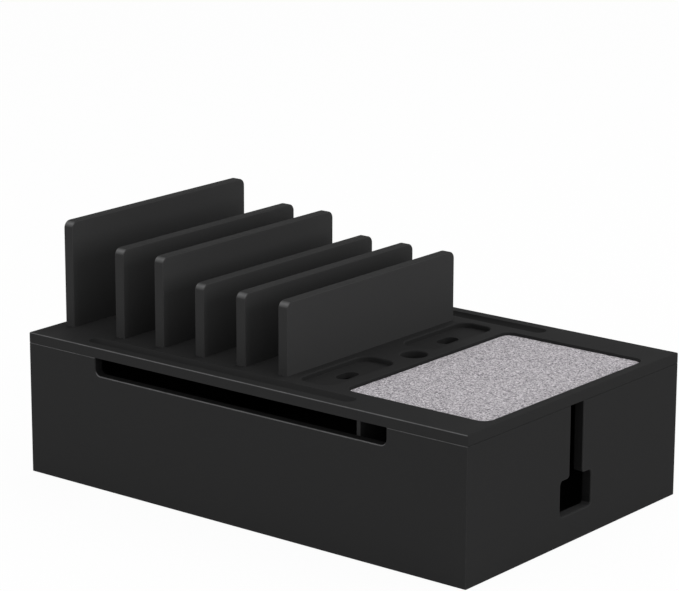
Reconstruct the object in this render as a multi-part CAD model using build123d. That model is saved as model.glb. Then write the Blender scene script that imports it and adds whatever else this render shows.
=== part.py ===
from build123d import *
import os

# A desk organizer: a low box that hides a power strip, closed by a lift-off top. The top
# carries a backrest, a row of upright dividers, two small shallow recesses, a long groove
# beside each long edge and a soft pad in a recess of its own.
#
# Millimetres. +X runs along the long sides towards the end wall with the keyhole cut-out,
# +Y from the near long side to the far one, +Z up. The origin is the middle of the
# footprint, on the surface that the foot pads stand on.

os.makedirs("parts", exist_ok=True)

# Box
box_length = 321.0
box_width = 205.0
wall_height = 79.6
wall_thickness = 6.0
corner_radius = 0.8
wall_edge_radius = 0.5
bottom_thickness = 5.5
mouth_chamfer = 0.5
cut_overrun = 2.0

# Slot along the top of each long wall, closed above by the lift-off top
slot_start = 53.1
slot_length = 213.8
slot_depth = 10.6
slot_corner_radius = 4.0

# Keyhole cut-out in the +X end wall
neck_width = 12.7
neck_fillet_radius = 2.0
keyhole_width = 30.2
keyhole_height = 21.0
keyhole_sill_height = 16.7
keyhole_corner_radius = 2.5

# Thin partition across the box, with an arch at the bottom
partition_start = 242.2
partition_thickness = 2.5
partition_top_clearance = 0.3
arch_width = 60.0
arch_height = 40.0
arch_corner_radius = 6.0

# Glue blocks in the box's corners, and the blocks under the top that drop in above them
corner_block_side = 12.0
locator_side = 12.0
locator_height = 8.0
locator_clearance = 0.4
locator_edge_chamfer = 1.2
block_gap = 3.0

# Foot pads
foot_radius = 9.0
foot_height = 1.0
foot_inset = 25.0
foot_edge_radius = 0.4

# Lift-off top
lid_thickness = 6.3
lid_edge_radius = 0.8
lid_under_radius = 0.4

# Backrest and dividers, placed by their rear faces from the rear end of the top
upright_thickness = 6.8
upright_width = 156.0
upright_corner_radius = 4.5
upright_edge_radius = 0.8
upright_seat_depth = 2.0
upright_seat_clearance = 0.1
backrest_start = 6.6
backrest_height = 64.0
divider_start = 47.1
divider_pitch = 31.0
tall_divider_height = 53.6
short_divider_height = 42.7
tall_divider_count = 2
short_divider_count = 3

# Pad recess and pad
pad_recess_start = 217.5
pad_recess_width = 155.0
pad_recess_depth = 3.0
pad_recess_corner_radius = 7.0
pad_rim = 6.0
pad_thickness = 1.5
pad_clearance = 0.4

# Two small recesses behind the pad, each with an oval hole through its floor
case_recess_start = 184.0
case_recess_length = 24.5
case_recess_width = 62.5
case_recess_spacing = 94.5
case_recess_depth = 3.0
case_recess_corner_radius = 8.0
case_hole_length = 9.0
case_hole_width = 16.0

# Round hole between the two small recesses, a little towards the far one
cable_hole_center = 205.0
cable_hole_offset = 3.0
cable_hole_diameter = 16.0

# Round-bottomed groove beside each long edge of the top
groove_start = 39.0
groove_length = 197.0
groove_width = 10.0
groove_depth = 3.0
groove_inset = 12.0

# Countersunk screws
upright_screw_radius = 1.5
upright_screw_length = 15.0
upright_screw_head_radius = 2.9
upright_screw_head_height = 1.6
upright_screw_inset = 30.0
bottom_screw_radius = 1.75
bottom_screw_length = 18.0
bottom_screw_head_radius = 3.3
bottom_screw_head_height = 1.9
screw_hole_clearance = 0.1
screw_tip_length_share = 0.25
screw_tip_radius_share = 0.25
drive_width_share = 0.3
drive_depth_share = 0.7

# Levels and faces that several pieces share
floor_z = foot_height
seam_z = floor_z + wall_height
lid_top_z = seam_z + lid_thickness
bottom_top_z = floor_z + bottom_thickness
rear_x = -box_length / 2
near_y = -box_width / 2
inner_length = box_length - 2 * wall_thickness
inner_width = box_width - 2 * wall_thickness
divider_count = tall_divider_count + short_divider_count
pad_recess_length = box_length - pad_recess_start - pad_rim

# Planes to draw on that face outwards, each with its height along Z
facing_near = Plane.XZ.location
facing_far = Plane(origin=(0, 0, 0), x_dir=(-1, 0, 0), z_dir=(0, 1, 0)).location
facing_front = Plane.YZ.location

# The four corners, as signs along X and Y
corners = {
    "near_rear": (-1, -1),
    "near_front": (1, -1),
    "far_rear": (-1, 1),
    "far_front": (1, 1),
}


def save(name, shape):
    """Write one named piece to its own file and print its size."""
    export_step(shape, os.path.join("parts", name + ".step"))
    size = shape.bounding_box().size
    print(f"{name:26s} {size.X:7.2f} {size.Y:7.2f} {size.Z:7.2f}  volume {shape.volume:10.1f}")


def board(low, high):
    """A square-edged board between two opposite corners."""
    size = [b - a for a, b in zip(low, high)]
    middle = [(a + b) / 2 for a, b in zip(low, high)]
    return Pos(*middle) * Box(*size)


def flared_cutter(profile, depth, mouth):
    """A cutter that goes depth below its own XY plane, with a chamfered mouth at the plane."""
    widened = offset(profile, amount=mouth, kind=Kind.INTERSECTION)
    shaft = extrude(profile, amount=-depth)
    flare = extrude(widened, amount=-mouth, taper=45)
    above = extrude(widened, amount=cut_overrun)
    return shaft + flare + above


# Box walls

def keyhole_profile():
    """The keyhole, drawn with its width along X and its height along Y from the wall's foot."""
    half_neck = neck_width / 2
    half_wide = keyhole_width / 2
    wide_top = keyhole_sill_height + keyhole_height
    neck_top = wall_height + cut_overrun
    points = [
        (-half_neck, neck_top), (-half_neck, wide_top),
        (-half_wide, wide_top), (-half_wide, keyhole_sill_height),
        (half_wide, keyhole_sill_height), (half_wide, wide_top),
        (half_neck, wide_top), (half_neck, neck_top),
    ]
    profile = make_face(Polyline(*points, close=True))
    between_x = (half_neck + half_wide) / 2
    between_y = (wide_top + neck_top) / 2
    shoulders = profile.vertices().filter_by(lambda v: abs(v.X) < between_x and v.Y < between_y)
    profile = fillet(shoulders, neck_fillet_radius)
    wide_corners = profile.vertices().filter_by(lambda v: abs(v.X) > between_x)
    return fillet(wide_corners, keyhole_corner_radius)


def slot_profile():
    """One long slot, drawn twice as high as it is deep so that its upper half clears the wall."""
    return RectangleRounded(slot_length, 2 * slot_depth, slot_corner_radius)


def wall_ring():
    """All four walls in one ring, with every opening cut, before the corners are mitred."""
    ring = extrude(RectangleRounded(box_length, box_width, corner_radius), amount=wall_height)
    ring = fillet(ring.edges().group_by(Axis.Z)[-1], wall_edge_radius)
    ring -= extrude(Rectangle(inner_length, inner_width), amount=wall_height)

    through = wall_thickness + cut_overrun
    slot_center = rear_x + slot_start + slot_length / 2
    slot_cutter = flared_cutter(slot_profile(), through, mouth_chamfer)
    ring -= Pos(slot_center, near_y, wall_height) * facing_near * slot_cutter
    ring -= Pos(slot_center, -near_y, wall_height) * facing_far * slot_cutter

    keyhole_cutter = flared_cutter(keyhole_profile(), through, mouth_chamfer)
    ring -= Pos(-rear_x, 0, 0) * facing_front * keyhole_cutter
    return Pos(0, 0, floor_z) * ring


def mitre_wedge(side_x, side_y):
    """The space of one wall, cut at 45 degrees through the corners. One sign is zero."""
    outer = cut_overrun
    inner = wall_thickness + cut_overrun
    half_length = box_length / 2
    half_width = box_width / 2
    if side_x == 0:
        points = [
            (-half_length - outer, side_y * (half_width + outer)),
            (half_length + outer, side_y * (half_width + outer)),
            (half_length - inner, side_y * (half_width - inner)),
            (-half_length + inner, side_y * (half_width - inner)),
        ]
    else:
        points = [
            (side_x * (half_length + outer), -half_width - outer),
            (side_x * (half_length + outer), half_width + outer),
            (side_x * (half_length - inner), half_width - inner),
            (side_x * (half_length - inner), -half_width + inner),
        ]
    outline = make_face(Polyline(*points, close=True))
    return extrude(outline, amount=lid_top_z)


ring = wall_ring()
save("near_long_wall", ring & mitre_wedge(0, -1))
save("far_long_wall", ring & mitre_wedge(0, 1))
save("rear_end_wall", ring & mitre_wedge(-1, 0))
save("keyhole_end_wall", ring & mitre_wedge(1, 0))


# Screws and the holes that they sit in

def screw(radius, length, head_radius, head_height):
    """A countersunk screw that points up from a flush head on its own XY plane."""
    tip = length * screw_tip_length_share
    shank_length = length - tip - head_height
    flat = Align.MIN
    head = Cone(head_radius, radius, head_height, align=(Align.CENTER, Align.CENTER, flat))
    shank = Pos(0, 0, head_height) * Cylinder(radius, shank_length, align=(Align.CENTER, Align.CENTER, flat))
    point = Pos(0, 0, head_height + shank_length) * Cone(
        radius, radius * screw_tip_radius_share, tip, align=(Align.CENTER, Align.CENTER, flat)
    )
    drive_depth = head_height * drive_depth_share
    drive_width = head_radius * drive_width_share
    drive = Box(head_radius, drive_width, 2 * drive_depth) + Box(drive_width, head_radius, 2 * drive_depth)
    return head + shank + point - drive


def screw_hole(radius, length, head_radius, head_height):
    """The countersunk hole for that screw, a clearance larger all round."""
    gap = screw_hole_clearance
    flat = Align.MIN
    sink = Cone(head_radius + gap, radius + gap, head_height, align=(Align.CENTER, Align.CENTER, flat))
    bore = Cylinder(radius + gap, length + gap, align=(Align.CENTER, Align.CENTER, flat))
    mouth = Pos(0, 0, -cut_overrun) * Cylinder(
        head_radius + gap, cut_overrun, align=(Align.CENTER, Align.CENTER, flat)
    )
    return sink + bore + mouth


bottom_screw_sizes = (
    bottom_screw_radius, bottom_screw_length, bottom_screw_head_radius, bottom_screw_head_height
)
upright_screw_sizes = (
    upright_screw_radius, upright_screw_length, upright_screw_head_radius, upright_screw_head_height
)


# Bottom, corner blocks, foot pads and bottom screws

def corner_place(sign_x, sign_y, inset, z):
    """A place that is set in by the same amount from both inner wall faces at one corner."""
    return Pos(sign_x * (inner_length / 2 - inset), sign_y * (inner_width / 2 - inset), z)


block_top_z = seam_z - locator_height - block_gap
block_height = block_top_z - bottom_top_z

bottom_panel = board(
    (-inner_length / 2, -inner_width / 2, floor_z),
    (inner_length / 2, inner_width / 2, bottom_top_z),
)
bottom_screws = []
for corner, (sign_x, sign_y) in corners.items():
    screw_place = corner_place(sign_x, sign_y, corner_block_side / 2, floor_z)
    hole = screw_place * screw_hole(*bottom_screw_sizes)
    bottom_panel -= hole
    bottom_screws.append(screw_place * screw(*bottom_screw_sizes))

    block_place = corner_place(sign_x, sign_y, corner_block_side / 2, bottom_top_z + block_height / 2)
    block = block_place * Box(corner_block_side, corner_block_side, block_height)
    save("corner_block_" + corner, block - hole)

    foot = extrude(Circle(foot_radius), amount=foot_height)
    foot = fillet(foot.edges().group_by(Axis.Z)[0], foot_edge_radius)
    foot_place = Pos(sign_x * (box_length / 2 - foot_inset), sign_y * (box_width / 2 - foot_inset), 0)
    save("foot_pad_" + corner, foot_place * foot)

save("bottom_panel", bottom_panel)
save("bottom_screws", Compound(children=bottom_screws))


# Partition

def partition():
    """A thin board across the box, with a round-cornered arch open to the bottom."""
    rear = rear_x + partition_start
    low = (rear, -inner_width / 2, bottom_top_z)
    high = (rear + partition_thickness, inner_width / 2, seam_z - partition_top_clearance)
    arch = extrude(
        RectangleRounded(arch_width, 2 * arch_height, arch_corner_radius),
        amount=partition_thickness,
        both=True,
    )
    arch_place = Pos(rear + partition_thickness / 2, 0, bottom_top_z) * facing_front
    return board(low, high) - arch_place * arch


save("partition", partition())


# Lift-off top

def upright_starts():
    """The rear face of the backrest and of each divider, with its name and height."""
    rows = [("backrest", rear_x + backrest_start, backrest_height)]
    for index in range(divider_count):
        height = tall_divider_height if index < tall_divider_count else short_divider_height
        rows.append((f"divider_{index + 1}", rear_x + divider_start + index * divider_pitch, height))
    return rows


def upright_screw_places(start):
    """The two screw places under one upright, on the underside of the top."""
    middle = start + upright_thickness / 2
    reach = upright_width / 2 - upright_screw_inset
    return [Pos(middle, side * reach, seam_z) for side in (-1, 1)]


def groove_cutter():
    """A round-bottomed groove with ball ends, level with the top's face on its own XY plane."""
    half_width = groove_width / 2
    tool_radius = (half_width ** 2 + groove_depth ** 2) / (2 * groove_depth)
    straight = groove_length - groove_width
    height = tool_radius - groove_depth
    tool = Rot(0, 90, 0) * Cylinder(tool_radius, straight)
    for end in (-1, 1):
        tool += Pos(end * straight / 2, 0, 0) * Sphere(tool_radius)
    return Pos(0, 0, height) * tool


def oval(length, width):
    """A slot outline with fully round ends, long way along Y."""
    return Rot(0, 0, 90) * SlotOverall(width, length)


def lid_panel():
    """The top board with every seat, recess, groove and hole cut in it."""
    panel = extrude(RectangleRounded(box_length, box_width, corner_radius), amount=lid_thickness)
    panel = fillet(panel.edges().group_by(Axis.Z)[-1], lid_edge_radius)
    panel = fillet(panel.edges().group_by(Axis.Z)[0], lid_under_radius)
    panel = Pos(0, 0, seam_z) * panel

    for name, start, height in upright_starts():
        seat = board(
            (start - upright_seat_clearance, -upright_width / 2 - upright_seat_clearance,
             lid_top_z - upright_seat_depth),
            (start + upright_thickness + upright_seat_clearance, upright_width / 2 + upright_seat_clearance,
             lid_top_z + cut_overrun),
        )
        panel -= seat
        for place in upright_screw_places(start):
            panel -= place * screw_hole(*upright_screw_sizes)

    pad_recess = RectangleRounded(pad_recess_length, pad_recess_width, pad_recess_corner_radius)
    pad_recess_x = rear_x + pad_recess_start + pad_recess_length / 2
    panel -= Pos(pad_recess_x, 0, lid_top_z - pad_recess_depth) * extrude(
        pad_recess, amount=pad_recess_depth + cut_overrun
    )

    case_x = rear_x + case_recess_start + case_recess_length / 2
    case_outline = RectangleRounded(case_recess_length, case_recess_width, case_recess_corner_radius)
    case_cutter = flared_cutter(case_outline, case_recess_depth, mouth_chamfer)
    case_hole = extrude(oval(case_hole_length, case_hole_width), amount=-lid_thickness)
    for side in (-1, 1):
        place = Pos(case_x, side * case_recess_spacing / 2, lid_top_z)
        panel -= place * case_cutter
        panel -= place * case_hole

    cable_cutter = flared_cutter(Circle(cable_hole_diameter / 2), lid_thickness + cut_overrun, mouth_chamfer)
    panel -= Pos(rear_x + cable_hole_center, cable_hole_offset, lid_top_z) * cable_cutter

    groove_x = rear_x + groove_start + groove_length / 2
    for side in (-1, 1):
        groove_y = side * (box_width / 2 - groove_inset)
        panel -= Pos(groove_x, groove_y, lid_top_z) * groove_cutter()
    return panel


def upright(start, height):
    """One upright board with rounded upper corners and eased edges, let into the top."""
    full_height = height + upright_seat_depth
    profile = Pos(0, full_height / 2) * Rectangle(upright_width, full_height)
    upper = profile.vertices().group_by(Axis.Y)[-1]
    profile = fillet(upper, upright_corner_radius)
    plate = extrude(profile, amount=upright_thickness)
    outline = [edge for edge in plate.edges().filter_by(Plane.XY) if edge.center().Y > 0]
    plate = fillet(outline, upright_edge_radius)
    plate = Pos(start, 0, lid_top_z - upright_seat_depth) * facing_front * plate
    for place in upright_screw_places(start):
        plate -= place * screw_hole(*upright_screw_sizes)
    return plate


save("lid_panel", lid_panel())
upright_screws = []
for name, start, height in upright_starts():
    save(name, upright(start, height))
    for place in upright_screw_places(start):
        upright_screws.append(place * screw(*upright_screw_sizes))
save("upright_screws", Compound(children=upright_screws))


# Pad in its recess

pad_outline = RectangleRounded(
    pad_recess_length - 2 * pad_clearance,
    pad_recess_width - 2 * pad_clearance,
    pad_recess_corner_radius - pad_clearance,
)
pad_place = Pos(rear_x + pad_recess_start + pad_recess_length / 2, 0, lid_top_z - pad_recess_depth)
save("felt_pad", pad_place * extrude(pad_outline, amount=pad_thickness))


# Locating blocks under the top

for corner, (sign_x, sign_y) in corners.items():
    locator = Box(locator_side, locator_side, locator_height)
    locator = chamfer(locator.edges().group_by(Axis.Z)[0], locator_edge_chamfer)
    inset = locator_clearance + locator_side / 2
    save("lid_locator_" + corner, corner_place(sign_x, sign_y, inset, seam_z - locator_height / 2) * locator)
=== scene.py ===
# %% [markdown]
# # A charging station organizer
#
# The object is a low black box of painted board. Its top lifts off, and carries a backrest, five
# dividers, two small recesses and a grey felt pad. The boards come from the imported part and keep
# their shape. This script gives each of them its finish, makes the felt as a piece of its own, and
# sets up the camera and the light.

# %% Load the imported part
import bpy
import math
from mathutils import Matrix, Vector, noise


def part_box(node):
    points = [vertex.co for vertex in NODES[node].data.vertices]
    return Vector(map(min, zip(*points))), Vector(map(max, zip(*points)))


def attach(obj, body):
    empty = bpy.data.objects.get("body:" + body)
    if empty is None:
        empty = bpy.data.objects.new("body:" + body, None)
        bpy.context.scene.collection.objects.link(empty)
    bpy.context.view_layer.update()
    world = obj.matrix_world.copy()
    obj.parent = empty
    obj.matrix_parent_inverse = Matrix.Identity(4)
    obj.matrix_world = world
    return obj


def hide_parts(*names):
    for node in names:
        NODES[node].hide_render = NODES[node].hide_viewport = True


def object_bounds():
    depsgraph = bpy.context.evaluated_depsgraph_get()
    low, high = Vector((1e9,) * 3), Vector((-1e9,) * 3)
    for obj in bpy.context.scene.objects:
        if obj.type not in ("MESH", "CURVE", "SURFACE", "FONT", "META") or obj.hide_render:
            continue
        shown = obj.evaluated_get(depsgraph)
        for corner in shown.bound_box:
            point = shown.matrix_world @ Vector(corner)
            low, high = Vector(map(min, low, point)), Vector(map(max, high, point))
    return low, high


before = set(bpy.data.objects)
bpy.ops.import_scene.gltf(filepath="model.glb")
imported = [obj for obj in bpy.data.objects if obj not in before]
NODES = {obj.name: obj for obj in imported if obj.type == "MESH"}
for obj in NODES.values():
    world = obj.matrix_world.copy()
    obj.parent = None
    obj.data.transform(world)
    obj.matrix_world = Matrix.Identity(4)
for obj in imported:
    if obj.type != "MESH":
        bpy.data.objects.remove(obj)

MM = 0.001
cad_low, cad_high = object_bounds()
part_middle = (cad_low + cad_high) / 2
part_half = (cad_high - cad_low) / 2
print("whole part, mm:", [round(v / MM, 1) for v in cad_high - cad_low])

# %% [markdown]
# ## The camera
#
# A product picture like this one is taken from far away with a long lens, so that the box's long
# edges stay nearly parallel. The camera's place, turn and lens were worked out from the six visible
# corners of the box, and then refined on its edges. A camera can be made to look at a point, but
# this picture is also turned by a fraction of a degree about the line of sight. So the camera is
# built from its own three axes, where that turn is one more number.

# %% Place the camera
CAMERA_PLACE = Vector((1.0152, -1.2770, 0.5456))
AZIMUTH = math.radians(38.70)
ELEVATION = math.radians(14.786)
ROLL = math.radians(0.142)
SENSOR_WIDTH_MM = 36.0
LENS_MM = 154.00
NEAREST_SEEN = 0.01
FARTHEST_SEEN = 100.0
UP = Vector((0, 0, 1))


def camera_axes(azimuth, elevation, roll):
    """The camera's right, up and backward directions in the part's frame."""
    level = math.cos(elevation)
    back = Vector((math.sin(azimuth) * level, -math.cos(azimuth) * level, math.sin(elevation)))
    right = (-back).cross(UP).normalized()
    up = right.cross(-back)
    turned_right = right * math.cos(roll) + up * math.sin(roll)
    turned_up = up * math.cos(roll) - right * math.sin(roll)
    return turned_right, turned_up, back


def place_camera():
    """A camera with the picture's viewpoint, with everything in focus."""
    data = bpy.data.cameras.new("picture_camera")
    data.sensor_fit = "HORIZONTAL"
    data.sensor_width = SENSOR_WIDTH_MM
    data.lens = LENS_MM
    data.clip_start = NEAREST_SEEN
    data.clip_end = FARTHEST_SEEN
    camera = bpy.data.objects.new("picture_camera", data)
    bpy.context.scene.collection.objects.link(camera)
    axes = Matrix(camera_axes(AZIMUTH, ELEVATION, ROLL)).transposed().to_4x4()
    camera.matrix_world = Matrix.Translation(CAMERA_PLACE) @ axes
    bpy.context.scene.camera = camera


place_camera()
print("camera to part, m:", round((CAMERA_PLACE - part_middle).length, 3))

# %% [markdown]
# ## Helpers for node materials
#
# Every finish below is a small tree of nodes. Such a tree is usually drawn in the shader editor,
# where each node is a box and each link a line. In a script, a line for each box and each link soon
# hides what the tree does. So a few helpers make a node, set it and link it in one call, and a
# finish then reads like a formula.

# %% Make and link nodes

def new_material(name):
    """A node material with no nodes yet, and its tree."""
    material = bpy.data.materials.new(name)
    material.use_nodes = True
    material.node_tree.nodes.clear()
    return material, material.node_tree


def feed(tree, socket, value):
    """Links a socket to another socket, or sets it to a value."""
    if isinstance(value, bpy.types.NodeSocket):
        tree.links.new(value, socket)
    else:
        socket.default_value = value


def node(tree, kind, settings=None, **inputs):
    """One node, with its settings and its named inputs given as values or as sockets to link."""
    made = tree.nodes.new(kind)
    for key, value in (settings or {}).items():
        setattr(made, key, value)
    for key, value in inputs.items():
        feed(tree, made.inputs[key.replace("_", " ")], value)
    return made


def surface(tree, shader):
    """Makes one shader the surface of the tree's material."""
    node(tree, "ShaderNodeOutputMaterial", Surface=shader)


print("ready: new_material, feed, node, surface")

# %% Sums in a node tree

def math_node(tree, operation, first, second):
    """The result of a math node between two values or sockets."""
    made = node(tree, "ShaderNodeMath", {"operation": operation})
    for socket, value in zip(made.inputs, (first, second)):
        feed(tree, socket, value)
    return made.outputs[0]


def vector_node(tree, operation, first, second):
    """The outputs of a vector math node between two vectors or sockets."""
    made = node(tree, "ShaderNodeVectorMath", {"operation": operation})
    for socket, value in zip(made.inputs, (first, second)):
        feed(tree, socket, value)
    return made.outputs


def unsigned(tree, value):
    """A value without its sign."""
    return math_node(tree, "ABSOLUTE", value, 0.0)


def split(tree, vector):
    """The outputs X, Y and Z of a vector."""
    return node(tree, "ShaderNodeSeparateXYZ", Vector=vector).outputs


print("ready: math_node, vector_node, unsigned, split")

# %% Join masks and shaders

def any_of(tree, first, *others):
    """The largest of some masks: one where any of them is one."""
    for other in others:
        first = math_node(tree, "MAXIMUM", first, other)
    return first


def all_of(tree, first, *others):
    """The product of some masks: one only where all of them are one."""
    for other in others:
        first = math_node(tree, "MULTIPLY", first, other)
    return first


def mix_shaders(tree, share, first, second):
    """The first shader at a share of nought and the second at one."""
    made = node(tree, "ShaderNodeMixShader")
    for socket, value in zip(made.inputs, (share, first, second)):
        feed(tree, socket, value)
    return made.outputs[0]


print("ready: any_of, all_of, mix_shaders")

# %% [markdown]
# ## The floor and the light
#
# The background is plain white, right up to the box. A floor that is lit until it clips would also
# flood a black object with light. Instead the floor and the sky show a white of their own to the
# eye and to mirror rays. The floor mixes that white with a little of its real shading, so that the
# box keeps a faint shadow.
#
# The underside of the box stands a millimetre above the floor, where hardly any light comes in, and
# would be plain black in a view from below. The floor can't be seen there, so under the box it lets
# the light of the sky through.

# %% Which rays see the white
WHITE = (1, 1, 1, 1)
WHITE_STRENGTH = 1.0


def seen_directly(tree):
    """One for camera, mirror and see-through rays, and nought for the rays that carry light."""
    ray = node(tree, "ShaderNodeLightPath").outputs
    return any_of(tree, ray["Is Camera Ray"], ray["Is Glossy Ray"], ray["Is Transmission Ray"])


def light_under_box(tree):
    """One for the rays that carry light, where the box covers the floor."""
    ray = node(tree, "ShaderNodeLightPath").outputs
    spot = node(tree, "ShaderNodeNewGeometry").outputs["Position"]
    from_middle = split(tree, vector_node(tree, "SUBTRACT", spot, part_middle)[0])
    in_length = math_node(tree, "LESS_THAN", unsigned(tree, from_middle["X"]), part_half.x)
    in_width = math_node(tree, "LESS_THAN", unsigned(tree, from_middle["Y"]), part_half.y)
    carries_light = any_of(tree, ray["Is Diffuse Ray"], ray["Is Shadow Ray"])
    return all_of(tree, carries_light, in_length, in_width)


print("covered floor, mm:", round(2 * part_half.x / MM, 1), "by", round(2 * part_half.y / MM, 1))

# %% Floor
FLOOR_HALF_SIDE = 8.0
FLOOR_GREY = (0.88, 0.88, 0.88, 1)
FLOOR_WHITE_SHARE = 0.96


def floor_material():
    """White to camera and mirror rays, a plain pale floor to the light, and clear from below."""
    material, tree = new_material("pale_floor")
    white_part = math_node(tree, "MULTIPLY", seen_directly(tree), FLOOR_WHITE_SHARE)
    matt = node(tree, "ShaderNodeBsdfDiffuse", Color=FLOOR_GREY).outputs[0]
    white = node(tree, "ShaderNodeEmission", Color=WHITE, Strength=WHITE_STRENGTH).outputs[0]
    shown = mix_shaders(tree, white_part, matt, white)
    from_below = node(tree, "ShaderNodeNewGeometry").outputs["Backfacing"]
    see_through = any_of(tree, from_below, light_under_box(tree))
    clear = node(tree, "ShaderNodeBsdfTransparent").outputs[0]
    surface(tree, mix_shaders(tree, see_through, shown, clear))
    return material


def make_floor():
    """One large flat sheet under the feet."""
    reach = FLOOR_HALF_SIDE
    corners = [(-reach, -reach, 0), (reach, -reach, 0), (reach, reach, 0), (-reach, reach, 0)]
    mesh = bpy.data.meshes.new("floor")
    mesh.from_pydata(corners, [], [(0, 1, 2, 3)])
    mesh.materials.append(floor_material())
    floor = bpy.data.objects.new("floor", mesh)
    bpy.context.scene.collection.objects.link(floor)


make_floor()
print("floor side, m:", 2 * FLOOR_HALF_SIDE)

# %% [markdown]
# The lamps stay at a plain level. In the picture the upright faces are as light as the top, so most
# of the light comes from the sides: one low softbox in front on the left, and one low on the right
# that makes the keyhole end a shade lighter than the long wall. A third one, high behind, lights
# the top and the pad. Spot lamps or a sun would draw hard shadows, which the picture doesn't have.
# All three lamps are large and far away, so that the shadows stay soft.

# %% Lamps
LAMPS = {
    # name: (place in metres, width and height in metres, power in watts)
    "front_left_softbox": ((-0.5, -1.7, 0.5), (1.0, 0.8), 12.3),
    "low_right_softbox": ((1.7, 0.1, 0.5), (1.0, 0.8), 10.3),
    "high_rear_softbox": ((0.4, 0.9, 1.6), (1.6, 1.6), 11.5),
}


def make_lamp(name, place, size, power):
    """A rectangular softbox that faces the middle of the part."""
    data = bpy.data.lights.new(name, "AREA")
    data.shape = "RECTANGLE"
    data.size, data.size_y = size
    data.energy = power
    lamp = bpy.data.objects.new(name, data)
    bpy.context.scene.collection.objects.link(lamp)
    lamp.location = place
    aim = part_middle - Vector(place)
    lamp.rotation_mode = "QUATERNION"
    lamp.rotation_quaternion = aim.to_track_quat("-Z", "Y")


for name, (place, size, power) in LAMPS.items():
    make_lamp(name, place, size, power)
print("lamps:", len(LAMPS))

# %% [markdown]
# The sky fills in what the lamps leave dark. A photographed room could stand in for it, but the
# picture shows no room. One even grey does the same work, and adds nothing to the reflections.

# %% Sky
SKY_STRENGTH = 0.60


def make_sky():
    """An even sky: white to the eye and to mirrors, a soft grey for the light."""
    world = bpy.data.worlds.new("even_sky")
    world.use_nodes = True
    tree = world.node_tree
    tree.nodes.clear()
    soft = node(tree, "ShaderNodeBackground", Color=WHITE, Strength=SKY_STRENGTH).outputs[0]
    white = node(tree, "ShaderNodeBackground", Color=WHITE, Strength=WHITE_STRENGTH).outputs[0]
    both = mix_shaders(tree, seen_directly(tree), soft, white)
    node(tree, "ShaderNodeOutputWorld", Surface=both)
    bpy.context.scene.world = world


make_sky()
bpy.context.scene.view_settings.view_transform = "Standard"
print("sky:", SKY_STRENGTH)

# %% [markdown]
# ## The black paint
#
# The boards are fine fibreboard under a sprayed, nearly flat black paint. What makes it look like
# paint rather than a hole in the picture is small: a fine pebbled skin that blurs reflections,
# patches that dried a little glossier, and edges that have been rubbed paler. Some upper edges, the
# uprights' broad faces and the openings also carry painted highlights, painted light and painted
# shade. A few more helpers come first, which mix tones, fit a value to a range, and make noise and
# relief.

# %% Mixes and ranges

# The Mix node has its own sockets for each kind of data, all with the same names, so they are
# picked by number: the kind, the inputs for the share and the two things to mix, and the result.
COLOUR_MIX = ("RGBA", (0, 6, 7), 2)
VALUE_MIX = ("FLOAT", (0, 2, 3), 0)


def mixed(tree, kind, share, first, second):
    """The first thing at a share of nought and the second at one."""
    data_type, inputs, result = kind
    made = node(tree, "ShaderNodeMix", {"data_type": data_type})
    for index, value in zip(inputs, (share, first, second)):
        feed(tree, made.inputs[index], value)
    return made.outputs[result]


def mix_colours(tree, share, first, second):
    """The first colour at a share of nought and the second at one."""
    return mixed(tree, COLOUR_MIX, share, first, second)


def mix_values(tree, share, first, second):
    """The first value at a share of nought and the second at one."""
    return mixed(tree, VALUE_MIX, share, first, second)


def spread(tree, value, low, high, to_low, to_high):
    """Maps a value from one range to another, held at the ends."""
    ranged = node(
        tree, "ShaderNodeMapRange", Value=value,
        From_Min=low, From_Max=high, To_Min=to_low, To_Max=to_high,
    )
    return ranged.outputs[0]


print("ready: mix_colours, mix_values, spread")

# %% Places, directions, noise and relief

def place_of(tree):
    """The place of a point in metres. Every node's object sits at the origin of the part."""
    return node(tree, "ShaderNodeTexCoord").outputs["Object"]


def face_normal(tree):
    """The direction in which the flat face itself looks, before any smoothing."""
    return node(tree, "ShaderNodeNewGeometry").outputs["True Normal"]


def noise_at(tree, place, cells, detail, roughness):
    """Even noise of so many cells to the metre."""
    made = node(
        tree, "ShaderNodeTexNoise", Vector=place, Scale=cells, Detail=detail, Roughness=roughness
    )
    return made.outputs[0]


def bumped(tree, strength, height, relief):
    """The surface's normal, tilted as by a relief of so many metres."""
    made = node(tree, "ShaderNodeBump", Strength=strength, Distance=height, Height=relief)
    return made.outputs[0]


print("ready: place_of, face_normal, noise_at, bumped")

# %% [markdown]
# ### Rubbed edges and painted highlights
#
# The edges are of two kinds. Most are only a trace lighter than the faces. The upper edges along the
# near side are bright thin lines, and so are the near upper corners of the uprights. These highlights
# are painted into the colour here as a paler tone, and the far side is painted alike.
#
# Such marks could be painted by hand on an unwrapped board, or read from how far a very fine mesh
# bends at each point. Here they come from the surface itself. A bevel node turns the normal near an
# edge, on any mesh. How far it turns says how near the edge is, and where it points says which edge
# it is.

# %% How near the edge is
EDGE_REACH = 0.6 * MM
EDGE_SAMPLES = 8

# How well the turned normal agrees with the face's own: where an edge starts, and where it is full.
EDGE_FLAT = 0.995
EDGE_SHARP = 0.88


def bent_normal(tree):
    """The surface's normal, turned smoothly from one face to the next near an edge."""
    return node(tree, "ShaderNodeBevel", {"samples": EDGE_SAMPLES}, Radius=EDGE_REACH).outputs[0]


def near_edge(tree, bent):
    """Nought on flat faces, rising to one on every edge."""
    agreement = vector_node(tree, "DOT_PRODUCT", bent, face_normal(tree))["Value"]
    return spread(tree, agreement, EDGE_SHARP, EDGE_FLAT, 1.0, 0.0)


print("an edge reaches, mm:", round(EDGE_REACH / MM, 2))

# %% Which edges carry the painted highlights

# How far the normal points both up and to a long side: where the painted highlight starts, and where
# it is full.
BOARD_GLINT_FACING = (0.30, 0.52)
UPRIGHT_GLINT_FACING = (0.25, 0.72)
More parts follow.
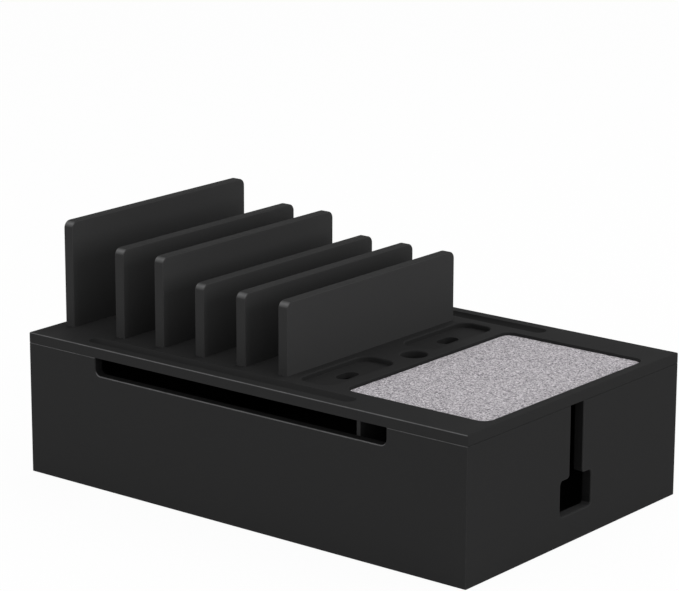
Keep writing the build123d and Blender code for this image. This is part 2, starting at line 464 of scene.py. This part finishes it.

# How far from the middle the painted highlight starts. On the uprights it may lie anywhere across.
BOARD_GLINT_FROM = 98.0 * MM
UPRIGHT_GLINT_FROM = 0.0


def painted_glint_mask(tree, place, bent, glint_facing, glint_from):
    """The mask of the painted highlights: rises to one where the surface faces up and to a long side,
    far enough from the middle.
    """
    facing = split(tree, bent)
    both = math_node(tree, "MINIMUM", unsigned(tree, facing["Y"]), facing["Z"])
    facing_share = spread(tree, both, *glint_facing, 0.0, 1.0)
    across = unsigned(tree, split(tree, place)["Y"])
    return all_of(tree, facing_share, math_node(tree, "GREATER_THAN", across, glint_from))


print("bright edges of the boards, mm from the middle:", round(BOARD_GLINT_FROM / MM, 1))

# %% [markdown]
# ### Openings and broad faces
#
# The tone isn't the same all over. The cut faces of the slots and the keyhole and the backs of the
# walls are painted darker than the outside, as painted shade. The keyhole's sill faces up and is
# painted paler, as painted light from above, and the keyhole's mouth and the other edges of the end
# walls are paler still, a painted highlight that also fills the shade in the seam under the top. On
# the uprights the broad faces are painted a shade paler than the ends, as painted light.
#
# Each place could have a material of its own, given to its faces one by one. But a board's faces are
# numbered afresh whenever the part is packed again. So each place is found from where the point is
# and which way its face looks, and one paint covers the whole board.

# %% Painted shade and light at the openings
# Painted shade inside the openings, painted light on the sill, and a painted highlight on the end
# walls' edges.
OPENING_PAINTED_SHADE = (0.0115, 0.0115, 0.0116, 1)
SILL_PAINTED_LIGHT = (0.0290, 0.0290, 0.0293, 1)
END_EDGE_PAINTED_LIGHT = (0.0500, 0.0500, 0.0503, 1)

# How far behind an outer face the openings start, how far from the middle the sill may lie, and how
# far from the box's corners the edges of the end walls are marked.
OPENING_FROM = 0.7 * MM
SILL_REACH = 30.0 * MM
CORNER_REACH = 3.0 * MM

# How much of an axis a face's direction must share to count as facing that way.
FACING = 0.5


def paint_opening_shade_and_light(tree, place, bent, tone):
    """Paints shade on what lies behind the outer faces, and paints light on the sill and the end
    walls' edges.
    """
    where = split(tree, place)
    along = unsigned(tree, where["X"])
    across = unsigned(tree, where["Y"])
    behind_ends = math_node(tree, "LESS_THAN", along, cad_high.x - OPENING_FROM)
    behind_sides = math_node(tree, "LESS_THAN", across, cad_high.y - OPENING_FROM)
    inside = all_of(tree, behind_ends, behind_sides)
    # Painted shade inside the openings and on the backs of the walls.
    tone = mix_colours(tree, inside, tone, OPENING_PAINTED_SHADE)

    # Painted light on the sill, which faces up.
    level = math_node(tree, "GREATER_THAN", split(tree, face_normal(tree))["Z"], FACING)
    near_middle = math_node(tree, "LESS_THAN", across, SILL_REACH)
    tone = mix_colours(tree, all_of(tree, inside, level, near_middle), tone, SILL_PAINTED_LIGHT)

    # Painted highlight on the end walls' edges, which also fills the shade of the seam under the top.
    end_face = math_node(tree, "GREATER_THAN", along, cad_high.x - OPENING_FROM)
    clear_of_corners = math_node(tree, "LESS_THAN", across, cad_high.y - CORNER_REACH)
    end_edge_light = all_of(tree, near_edge(tree, bent), end_face, clear_of_corners)
    return mix_colours(tree, end_edge_light, tone, END_EDGE_PAINTED_LIGHT)


print("openings start, mm behind a face:", round(OPENING_FROM / MM, 2))

# %% Painted light on the broad faces
# A painted light: the broad faces of the uprights are made paler than the ends, for the light that
# falls on them.
BROAD_FACE_PAINTED_LIGHT = (0.0350, 0.0350, 0.0352, 1)


def paint_broad_face_light(tree, tone):
    """Paints light on the front and back of an upright."""
    facing = unsigned(tree, split(tree, face_normal(tree))["X"])
    return mix_colours(tree, math_node(tree, "GREATER_THAN", facing, FACING), tone, BROAD_FACE_PAINTED_LIGHT)


print("tone of the broad faces:", BROAD_FACE_PAINTED_LIGHT[0])

# %% [markdown]
# ### One tree for every paint
#
# The walls, the top, the uprights and the boards inside are all sprayed, and differ in tone, gloss
# and painted highlights. Four separate trees would drift apart when one of them is changed. So one
# function makes the tree, and each paint is a call with its own numbers. The patches are a few
# centimetres across, the rubs a few millimetres and the pebbles less than one. All three are noise in
# the part's own space, so that nothing has to be unwrapped and no pattern repeats from board to
# board.

# %% Noise in the paint

# Each noise here and below: cells to the metre, detail, roughness.
PATCHES = (28.0, 4.0, 0.55)
RUBS = (140.0, 3.0, 0.6)
PEBBLES = (1500.0, 2.0, 0.5)

# What the rubs noise does to an edge's wear and to the painted highlight: from a range of the noise
# to a range of shares.
EDGE_RUBS = (0.35, 0.65, 0.3, 1.0)
GLINT_NOISE_RANGE = (0.3, 0.6, 0.7, 1.0)

# The range of the patches that goes from glossier to duller paint.
PATCH_RANGE = (0.3, 0.7)

for kind, cells in (("patches", PATCHES[0]), ("rubs", RUBS[0]), ("pebbles", PEBBLES[0])):
    print(kind, "about", round(1 / cells / MM, 1), "mm across")

# %% Sprayed paint
EDGE_TONE = (0.0300, 0.0300, 0.0303, 1)
PAINT_GLOSS_LEVEL = 0.03
GLINT_EDGE_ROUGHNESS = 0.45
PEBBLE_STRENGTH = 0.5
PEBBLE_HEIGHT = 0.012 * MM


def paint_tone(tree, place, bent, patches, edge, tones, broad_faces, openings):
    """The mottled tone, with the painted light on the broad faces, the edges, and the painted shade
    and light at the openings marked on it in turn.
    """
    tone = mix_colours(tree, patches, *tones)
    if broad_faces:
        tone = paint_broad_face_light(tree, tone)
    tone = mix_colours(tree, edge, tone, EDGE_TONE)
    if openings:
        tone = paint_opening_shade_and_light(tree, place, bent, tone)
    return tone


def paint_material(name, tones, glint_tone, glint_facing, glint_from, rough, broad_faces=False, openings=False):
    """Sprayed paint on fibreboard: mottled tone, uneven gloss, a fine pebbled skin, rubbed edges, and
    painted highlights on the upper long edges.
    """
    material, tree = new_material(name)
    place = place_of(tree)
    bent = bent_normal(tree)
    patches = noise_at(tree, place, *PATCHES)
    rubs = noise_at(tree, place, *RUBS)
    edge = all_of(tree, near_edge(tree, bent), spread(tree, rubs, *EDGE_RUBS))
    # The upper long edges and the uprights' near upper corners get a painted highlight: a paler tone
    # and a lower roughness.
    glint = painted_glint_mask(tree, place, bent, glint_facing, glint_from)
    glint = all_of(tree, glint, spread(tree, rubs, *GLINT_NOISE_RANGE))

    tone = paint_tone(tree, place, bent, patches, edge, tones, broad_faces, openings)
    tone = mix_colours(tree, glint, tone, glint_tone)
    patchy = spread(tree, patches, *PATCH_RANGE, *rough)
    roughness_with_glints = mix_values(tree, glint, patchy, GLINT_EDGE_ROUGHNESS)
    skin = bumped(tree, PEBBLE_STRENGTH, PEBBLE_HEIGHT, noise_at(tree, place, *PEBBLES))
    paint = node(
        tree, "ShaderNodeBsdfPrincipled", Base_Color=tone, Roughness=roughness_with_glints, Normal=skin
    )
    paint.inputs["Specular IOR Level"].default_value = PAINT_GLOSS_LEVEL
    surface(tree, paint.outputs[0])
    return material


print("pebbles of the skin, mm high:", round(PEBBLE_HEIGHT / MM, 3))

# %% The four paints

# The darker and the lighter tone that the patches mix.
BOARD_TONES = ((0.0183, 0.0183, 0.0184, 1), (0.0207, 0.0207, 0.0209, 1))
UPRIGHT_TONES = ((0.0240, 0.0240, 0.0241, 1), (0.0270, 0.0270, 0.0272, 1))

# The tone of the painted highlight on the upper long edges and the uprights' near upper corners.
BOARD_PAINTED_GLINT = (0.1050, 0.1050, 0.1060, 1)
UPRIGHT_PAINTED_GLINT = (0.1200, 0.1200, 0.1210, 1)

# The roughness of the glossier and of the duller patches.
BOARD_ROUGH = (0.74, 0.86)
UPRIGHT_ROUGH = (0.70, 0.82)
INNER_ROUGH = (0.84, 0.94)

wall_paint = paint_material(
    "satin_black_wall_paint", BOARD_TONES, BOARD_PAINTED_GLINT, BOARD_GLINT_FACING, BOARD_GLINT_FROM, BOARD_ROUGH,
    openings=True,
)
top_paint = paint_material(
    "satin_black_top_paint", BOARD_TONES, BOARD_PAINTED_GLINT, BOARD_GLINT_FACING, BOARD_GLINT_FROM, BOARD_ROUGH
)
upright_paint = paint_material(
    "satin_black_upright_paint", UPRIGHT_TONES, UPRIGHT_PAINTED_GLINT, UPRIGHT_GLINT_FACING, UPRIGHT_GLINT_FROM,
    UPRIGHT_ROUGH, broad_faces=True,
)
inner_paint = paint_material(
    "flat_black_inner_paint", UPRIGHT_TONES, EDGE_TONE, BOARD_GLINT_FACING, BOARD_GLINT_FROM, INNER_ROUGH
)
for paint in (wall_paint, top_paint, upright_paint, inner_paint):
    print(paint.name, "has", len(paint.node_tree.nodes), "nodes")

# %% Paint the boards

def finish_nodes(prefixes, material):
    """Gives one finish to every board whose name starts with one of these words."""
    named = sorted(name for name in NODES if name.startswith(prefixes))
    for name in named:
        mesh = NODES[name].data
        mesh.materials.clear()
        mesh.materials.append(material)
    return named


walls = finish_nodes(("near_long", "far_long", "rear_end", "keyhole_end"), wall_paint)
top = finish_nodes(("lid_panel",), top_paint)
uprights = finish_nodes(("backrest", "divider"), upright_paint)
inner = finish_nodes(("bottom_panel", "partition", "corner_block", "lid_locator"), inner_paint)
print("walls:", len(walls), "top:", len(top), "uprights:", len(uprights), "inner boards:", len(inner))

# %% [markdown]
# ## Rubber and screws
#
# The feet are punched from sheet rubber, dull and a little grainy, with some dust in the grain. A
# picture of rubber could be wrapped round them, but noise of two sizes gives the grain and the dust
# without one. The screws are zinc plated. A pale grey paint would look flat on them, because metal
# shows little but what it reflects, so they get a metal shader with a cloudy polish. Both are small,
# but they show when the box is turned over.

# %% Rubber
RUBBER_DARK = (0.014, 0.014, 0.014, 1)
RUBBER_DUSTY = (0.040, 0.039, 0.037, 1)
RUBBER_ROUGH = (0.72, 0.92)
RUBBER_GRAIN = (2600.0, 3.0, 0.5)
RUBBER_DUST = (160.0, 3.0, 0.5)
DUST_RANGE = (0.45, 0.75)
GRAIN_STRENGTH = 0.7
GRAIN_HEIGHT = 0.03 * MM


def rubber_material():
    """Dull black rubber with a fine grain and a little dust."""
    material, tree = new_material("foot_rubber")
    place = place_of(tree)
    grain = noise_at(tree, place, *RUBBER_GRAIN)
    dusty = spread(tree, noise_at(tree, place, *RUBBER_DUST), *DUST_RANGE, 0.0, 1.0)
    tone = mix_colours(tree, dusty, RUBBER_DARK, RUBBER_DUSTY)
    rough = spread(tree, grain, 0.0, 1.0, *RUBBER_ROUGH)
    skin = bumped(tree, GRAIN_STRENGTH, GRAIN_HEIGHT, grain)
    rubber = node(tree, "ShaderNodeBsdfPrincipled", Base_Color=tone, Roughness=rough, Normal=skin)
    surface(tree, rubber.outputs[0])
    return material


feet = finish_nodes(("foot_pad",), rubber_material())
print("feet:", len(feet))

# %% Zinc plate
ZINC_CLEAR = (0.60, 0.61, 0.64, 1)
ZINC_CLOUDY = (0.46, 0.46, 0.47, 1)
ZINC_ROUGH = (0.22, 0.42)
ZINC_CLOUDS = (900.0, 3.0, 0.5)
CLOUD_STRENGTH = 0.3
CLOUD_HEIGHT = 0.03 * MM


def zinc_material():
    """Bright zinc plate, with cloudy patches in its tone and polish."""
    material, tree = new_material("zinc_plate")
    clouds = noise_at(tree, place_of(tree), *ZINC_CLOUDS)
    tone = mix_colours(tree, clouds, ZINC_CLEAR, ZINC_CLOUDY)
    rough = spread(tree, clouds, 0.0, 1.0, *ZINC_ROUGH)
    skin = bumped(tree, CLOUD_STRENGTH, CLOUD_HEIGHT, clouds)
    zinc = node(
        tree, "ShaderNodeBsdfPrincipled", Base_Color=tone, Metallic=1.0, Roughness=rough, Normal=skin
    )
    surface(tree, zinc.outputs[0])
    return material


screws = finish_nodes(("bottom_screws", "upright_screws"), zinc_material())
print("screw groups:", len(screws))

# %% [markdown]
# ## The felt pad
#
# The pad is cut from pressed grey felt, a mat of light and dark fibres. Pressed felt isn't flat:
# its face has soft lumps about a millimetre across, and its cut edge is rounded and slightly wavy.
# Cloth simulation is for sheets that hang or fold. This one lies flat in a recess, so it is
# modelled directly. A fine grid is squeezed to the pad's outline, and its points are lifted by
# noise, so that the lumps are real shape. The fibres are far finer than the grid, so they are left
# to the material.

# %% Felt sizes
pad_low, pad_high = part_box("felt_pad")
pad_middle = (pad_low + pad_high) / 2
pad_half = (pad_high - pad_low) / 2

# The pad's corner radius, and how far its cut edge rolls over and waves.
FELT_CORNER = 6.6 * MM
FELT_EDGE = 0.5 * MM
FELT_WAVE = 0.12 * MM

# The pressed face, inside the rolled edge.
face_half_x = pad_half.x - FELT_EDGE - FELT_WAVE
face_half_y = pad_half.y - FELT_EDGE - FELT_WAVE
face_corner = FELT_CORNER - FELT_EDGE
print("pad, mm:", [round(v / MM, 1) for v in pad_high - pad_low])

# %% The outline of the pressed face
FELT_STEP = 0.55 * MM
CORNER_COLUMNS = 14


def column_places():
    """Distances along X of the grid's columns: close together in the corners, even between."""
    turns = [math.pi / 2 * index / CORNER_COLUMNS for index in range(CORNER_COLUMNS + 1)]
    inner_half = face_half_x - face_corner
    right = [inner_half + face_corner * math.sin(turn) for turn in turns]
    count = round(2 * inner_half / FELT_STEP)
    middle = [-inner_half + 2 * inner_half * index / count for index in range(1, count)]
    return [-x for x in reversed(right)] + middle + right


def half_width_at(x):
    """Half the width of the face at one distance along X."""
    past = max(0.0, abs(x) - (face_half_x - face_corner))
    return face_half_y - face_corner + math.sqrt(max(0.0, face_corner * face_corner - past * past))


columns = column_places()
rows = round(2 * face_half_y / FELT_STEP)
print("columns:", len(columns), "rows:", rows)

# %% The lumps of the pressed face

# Heights of the fine lumps and of the broad swell, and their cells to the metre.
FELT_LUMP = 0.07 * MM
FELT_SWELL = 0.10 * MM
LUMP_SCALE = 620.0
SWELL_SCALE = 90.0

# The swell is read at a level of its own in the noise, so that it doesn't follow the lumps.
SWELL_LEVEL = 7.0


def lump(x, y):
    """How far the pressed face stands up or down at one place."""
    fine = noise.noise(Vector((x * LUMP_SCALE, y * LUMP_SCALE, 0.0)))
    broad = noise.noise(Vector((x * SWELL_SCALE, y * SWELL_SCALE, SWELL_LEVEL)))
    return FELT_LUMP * fine + FELT_SWELL * broad


def face_points():
    """The grid's points, column by column, squeezed to the outline and lifted by the lumps."""
    points = []
    for x in columns:
        reach = half_width_at(x)
        for row in range(rows + 1):
            y = reach * (2 * row / rows - 1)
            points.append(Vector((x, y, pad_half.z - FELT_SWELL + lump(x, y))))
    return points


felt_points = face_points()
heights = [point.z for point in felt_points]
print("lumps, mm from lowest to highest:", round((max(heights) - min(heights)) / MM, 2))

# %% The faces of the grid, and its rim

def at(column, row):
    """The number of one grid point."""
    return column * (rows + 1) + row


def grid_faces():
    """A four-sided face in every square of the grid, facing up."""
    return [
        (at(column, row), at(column + 1, row), at(column + 1, row + 1), at(column, row + 1))
        for column in range(len(columns) - 1)
        for row in range(rows)
    ]


def rim_numbers():
    """The numbers of the points on the grid's rim, once round and in order."""
    last = len(columns) - 1
    rim = [at(column, 0) for column in range(last)]
    rim += [at(last, row) for row in range(rows)]
    rim += [at(column, rows) for column in range(last, 0, -1)]
    rim += [at(0, row) for row in range(rows, 0, -1)]
    return rim


felt_faces = grid_faces()
felt_rim = rim_numbers()
print("rim points:", len(felt_rim))

# %% The cut edge and the underside
EDGE_RINGS = 4

# The waves' cells to the metre, and the step through their noise from one ring to the next.
WAVE_SCALE = 260.0
WAVE_STEP = 0.4


def outward_directions(points, rim):
    """The level direction away from the pad at each point of the rim."""
    outward = []
    for index in range(len(rim)):
        along = points[rim[(index + 1) % len(rim)]] - points[rim[index - 1]]
        outward.append(Vector((along.y, -along.x, 0)).normalized())
    return outward


def ring_point(place, away, ring):
    """A rim point, rolled over by its share of a quarter turn. The last ring is at the underside."""
    turn = math.pi / 2 * min(1.0, ring / EDGE_RINGS)
    spot = Vector((place.x * WAVE_SCALE, place.y * WAVE_SCALE, ring * WAVE_STEP))
    wave = FELT_WAVE * noise.noise(spot)
    out = place + away * (FELT_EDGE * math.sin(turn) + wave * math.sin(turn))
    out.z = -pad_half.z if ring > EDGE_RINGS else place.z - FELT_EDGE * (1 - math.cos(turn))
    return out


def add_edge_rings(points, faces, rim):
    """Rolls the rim over into the cut edge, and closes the felt underneath."""
    outward = outward_directions(points, rim)
    start = [points[index].copy() for index in rim]
    previous = rim
    for ring in range(1, EDGE_RINGS + 2):
        made = list(range(len(points), len(points) + len(rim)))
        points.extend(ring_point(place, away, ring) for place, away in zip(start, outward))
        for index in range(len(rim)):
            after = (index + 1) % len(rim)
            faces.append((previous[index], made[index], made[after], previous[after]))
        previous = made
    faces.append(tuple(reversed(previous)))


add_edge_rings(felt_points, felt_faces, felt_rim)
print("felt points:", len(felt_points), "faces:", len(felt_faces))

# %% [markdown]
# ### The felt's fibres
#
# Grey felt is a blend of pale and dark fibres that lie in every direction and curl. They could be
# real hairs, but tens of thousands of them would swamp the model and show no more than a speckle
# from a step away. Here they are drawn by the material. A distorted noise passes through its middle
# value along thin curling lines, and each such line is a fibre. Two sets of lines are pale and two
# are dark. A finer noise adds the speckle of fibre ends. Pale fibres and bright speckle also stand
# a little proud, for the nap.

# %% Curling fibres

# Each set of fibres is read at a level of its own in the noise, so that no set follows another.
PALE_LEVELS = (0.3, 1.1)
DARK_LEVELS = (2.7, 3.5)
FIBRE_SCALE = 380.0
FIBRE_DETAIL = 2.0
FIBRE_CURL = 0.8

# How far from the noise's middle value a fibre is still full, and how far off it ends.
FIBRE_MIDDLE = 0.5
FIBRE_CORE = 0.012
FIBRE_RIM = 0.040


def curly_fibres(tree, place, levels):
    """Thin curling lines: where the noise passes its middle value, at each of some levels."""
    lines = []
    for level in levels:
        moved = vector_node(tree, "ADD", place, (0.0, 0.0, level))[0]
        field = node(
            tree, "ShaderNodeTexNoise", Vector=moved,
            Scale=FIBRE_SCALE, Detail=FIBRE_DETAIL, Distortion=FIBRE_CURL,
        ).outputs[0]
        off_line = unsigned(tree, math_node(tree, "SUBTRACT", field, FIBRE_MIDDLE))
        lines.append(spread(tree, off_line, FIBRE_CORE, FIBRE_RIM, 1.0, 0.0))
    return any_of(tree, *lines)


print("sets of fibres:", len(PALE_LEVELS), "pale and", len(DARK_LEVELS), "dark")

# %% Heathered tone
FELT_DARK = (0.089, 0.081, 0.093, 1)
FELT_MIDDLE = (0.331, 0.308, 0.335, 1)
FELT_PALE = (0.776, 0.740, 0.772, 1)

# The speckle grows paler above its middle value and darker below it, over this span to this share.
SPECKLE_MIDDLE = 0.50
SPECKLE_SPAN = 0.10
SPECKLE_SHARE = 0.90

# How much of their own tone the fibres bring.
DARK_SHARE = 0.70
PALE_SHARE = 0.55


def felt_tone(tree, speckle, pale, dark):
    """The middle grey, with pale and dark speckle on it and then the dark and the pale fibres."""
    high = SPECKLE_MIDDLE + SPECKLE_SPAN
    low = SPECKLE_MIDDLE - SPECKLE_SPAN
    bright = spread(tree, speckle, SPECKLE_MIDDLE, high, 0.0, SPECKLE_SHARE)
    dim = spread(tree, speckle, SPECKLE_MIDDLE, low, 0.0, SPECKLE_SHARE)
    tone = mix_colours(tree, bright, FELT_MIDDLE, FELT_PALE)
    tone = mix_colours(tree, dim, tone, FELT_DARK)
    tone = mix_colours(tree, math_node(tree, "MULTIPLY", dark, DARK_SHARE), tone, FELT_DARK)
    return mix_colours(tree, math_node(tree, "MULTIPLY", pale, PALE_SHARE), tone, FELT_PALE)


print("speckle is full at", SPECKLE_MIDDLE - SPECKLE_SPAN, "and", SPECKLE_MIDDLE + SPECKLE_SPAN)

# %% Felt material
SPECKLE = (900.0, 3.0, 0.65)
NAP_STRENGTH = 0.8
NAP_HEIGHT = 0.10 * MM
FELT_ROUGH = (0.85, 1.0)
FELT_GLOSS_LEVEL = 0.15
FELT_SHEEN = 0.12
FELT_SHEEN_ROUGHNESS = 0.5


def felt_material():
    """Heathered grey felt: pale and dark fibres, soft sheen and a fine nap."""
    material, tree = new_material("heathered_felt")
    place = place_of(tree)
    pale = curly_fibres(tree, place, PALE_LEVELS)
    dark = curly_fibres(tree, place, DARK_LEVELS)
    speckle = noise_at(tree, place, *SPECKLE)
    nap = math_node(tree, "ADD", math_node(tree, "SUBTRACT", pale, dark), speckle)
    felt = node(
        tree, "ShaderNodeBsdfPrincipled",
        Base_Color=felt_tone(tree, speckle, pale, dark),
        Roughness=spread(tree, speckle, 0.0, 1.0, *FELT_ROUGH),
        Normal=bumped(tree, NAP_STRENGTH, NAP_HEIGHT, nap),
    )
    felt.inputs["Specular IOR Level"].default_value = FELT_GLOSS_LEVEL
    felt.inputs["Sheen Weight"].default_value = FELT_SHEEN
    felt.inputs["Sheen Roughness"].default_value = FELT_SHEEN_ROUGHNESS
    surface(tree, felt.outputs[0])
    return material


felt_finish = felt_material()
print("nodes in the felt:", len(felt_finish.node_tree.nodes))

# %% [markdown]
# ### Laying the felt
#
# The pad is glued into its recess in the top. The plain pad of the imported part could carry the
# finish by itself, but it has sharp edges and a dead flat face. So the felt takes its place, and
# rides on the lid, so that it comes up with the top. It is cut flat from sheet, and its flat size is
# the pad's own.


def lay_felt():
    """The felt as one piece in the recess, in place of the plain pad."""
    mesh = bpy.data.meshes.new("grey_felt")
    mesh.from_pydata([point + pad_middle for point in felt_points], [], felt_faces)
    mesh.validate()
    mesh.shade_smooth()
    mesh.materials.append(felt_finish)
    felt = bpy.data.objects.new("grey_felt", mesh)
    bpy.context.scene.collection.objects.link(felt)
    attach(felt, "lid")
    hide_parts("felt_pad")


lay_felt()
